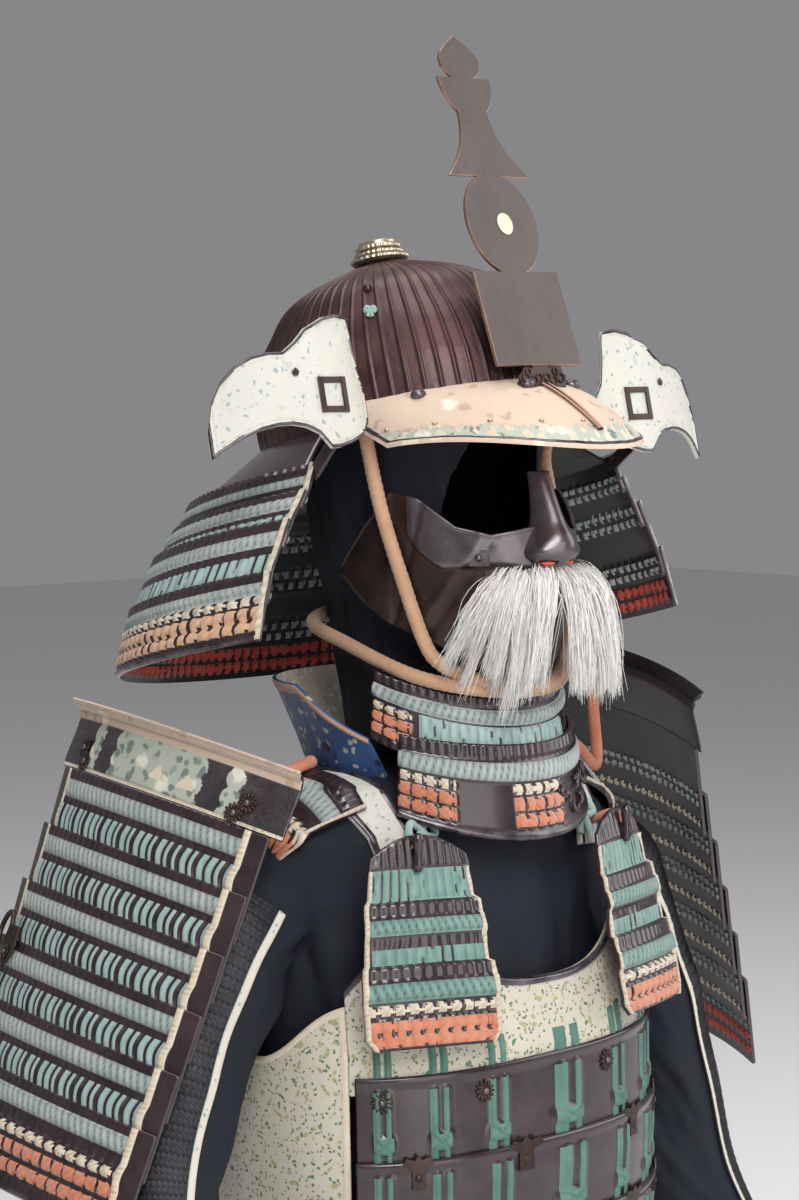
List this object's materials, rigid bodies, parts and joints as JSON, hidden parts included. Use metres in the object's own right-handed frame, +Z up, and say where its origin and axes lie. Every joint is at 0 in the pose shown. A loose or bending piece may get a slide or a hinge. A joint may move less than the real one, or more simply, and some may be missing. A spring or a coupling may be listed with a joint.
{
  "type": "samurai armour",
  "caption": "A worn set of laced samurai armour: ridged helmet with tower crest, half mask with white moustache, throat guard, cuirass and shoulder guards.",
  "frame": {"origin": "base of the wearer's neck, between the shoulders", "axes": "+Z up, the front faces -Y, the wearer's right is -X"},
  "size_m": [0.7086, 0.4293, 1.2234],
  "materials": {
    "russet_iron": "russet, satin",
    "dark_iron": "polished dark",
    "gilt": "worn gilt",
    "bronze": "dark bronze with coppery edges",
    "visor_leather": "worn, printed",
    "pale_leather": "dotted, matte",
    "lacquer": "black-brown lacquer, silk lacing",
    "navy_cloth": "matte",
    "brocade": "woven",
    "mail": "linked rings",
    "peach_cord": "twisted silk",
    "orange_cord": "braided silk",
    "horsehair": "white horsehair"
  },
  "bodies": {
    "armour": {"bowl": "russet_iron", "top_fitting": "gilt", "visor": "visor_leather", "crest_socket": "dark_iron", "mask": "dark_iron", "nose": "dark_iron", "turnback_right": "pale_leather", "turnback_left": "pale_leather", "chest_leather": "pale_leather", "side_guard_right": "pale_leather", "side_guard_left": "pale_leather", "shoulder_strap_right": "pale_leather", "shoulder_strap_left": "pale_leather", "neck_plate": "lacquer", "neck_lame_1": "lacquer", "neck_lame_2": "lacquer", "neck_lame_3": "lacquer", "neck_lame_4": "lacquer", "throat_upper": "lacquer", "throat_lower": "lacquer", "back_board": "lacquer", "board_1": "lacquer", "board_2": "lacquer", "board_3": "lacquer", "chest_plate_right": "lacquer", "chest_plate_left": "lacquer", "guard_board_right": "lacquer", "guard_board_left": "lacquer", "guard_lame_right_1": "lacquer", "guard_lame_right_2": "lacquer", "guard_lame_right_3": "lacquer", "guard_lame_right_4": "lacquer", "guard_lame_right_5": "lacquer", "guard_lame_right_6": "lacquer", "guard_lame_left_1": "lacquer", "guard_lame_left_2": "lacquer", "guard_lame_left_3": "lacquer", "guard_lame_left_4": "lacquer", "guard_lame_left_5": "lacquer", "guard_lame_left_6": "lacquer", "skirt_panel_1": "lacquer", "skirt_panel_2": "lacquer", "skirt_panel_3": "lacquer", "skirt_panel_4": "lacquer", "skirt_panel_5": "lacquer", "skirt_panel_6": "lacquer", "skirt_panel_7": "lacquer", "robe_body": "navy_cloth", "robe_sleeve_right": "navy_cloth", "robe_sleeve_left": "navy_cloth", "hood": "navy_cloth", "collar": "brocade", "mail_sleeve_right": "mail", "mail_sleeve_left": "mail", "chin_cord": "peach_cord", "shoulder_cord_right": "orange_cord", "shoulder_cord_left": "orange_cord", "moustache": "horsehair"},
    "crest": {"crest": "bronze"}
  },
  "joints": [
    {"name": "crest_lift", "type": "slide", "parent": "armour", "child": "crest", "axis": [0, 0.3558, 0.9346], "range_m": [0, 0.055]}
  ]
}
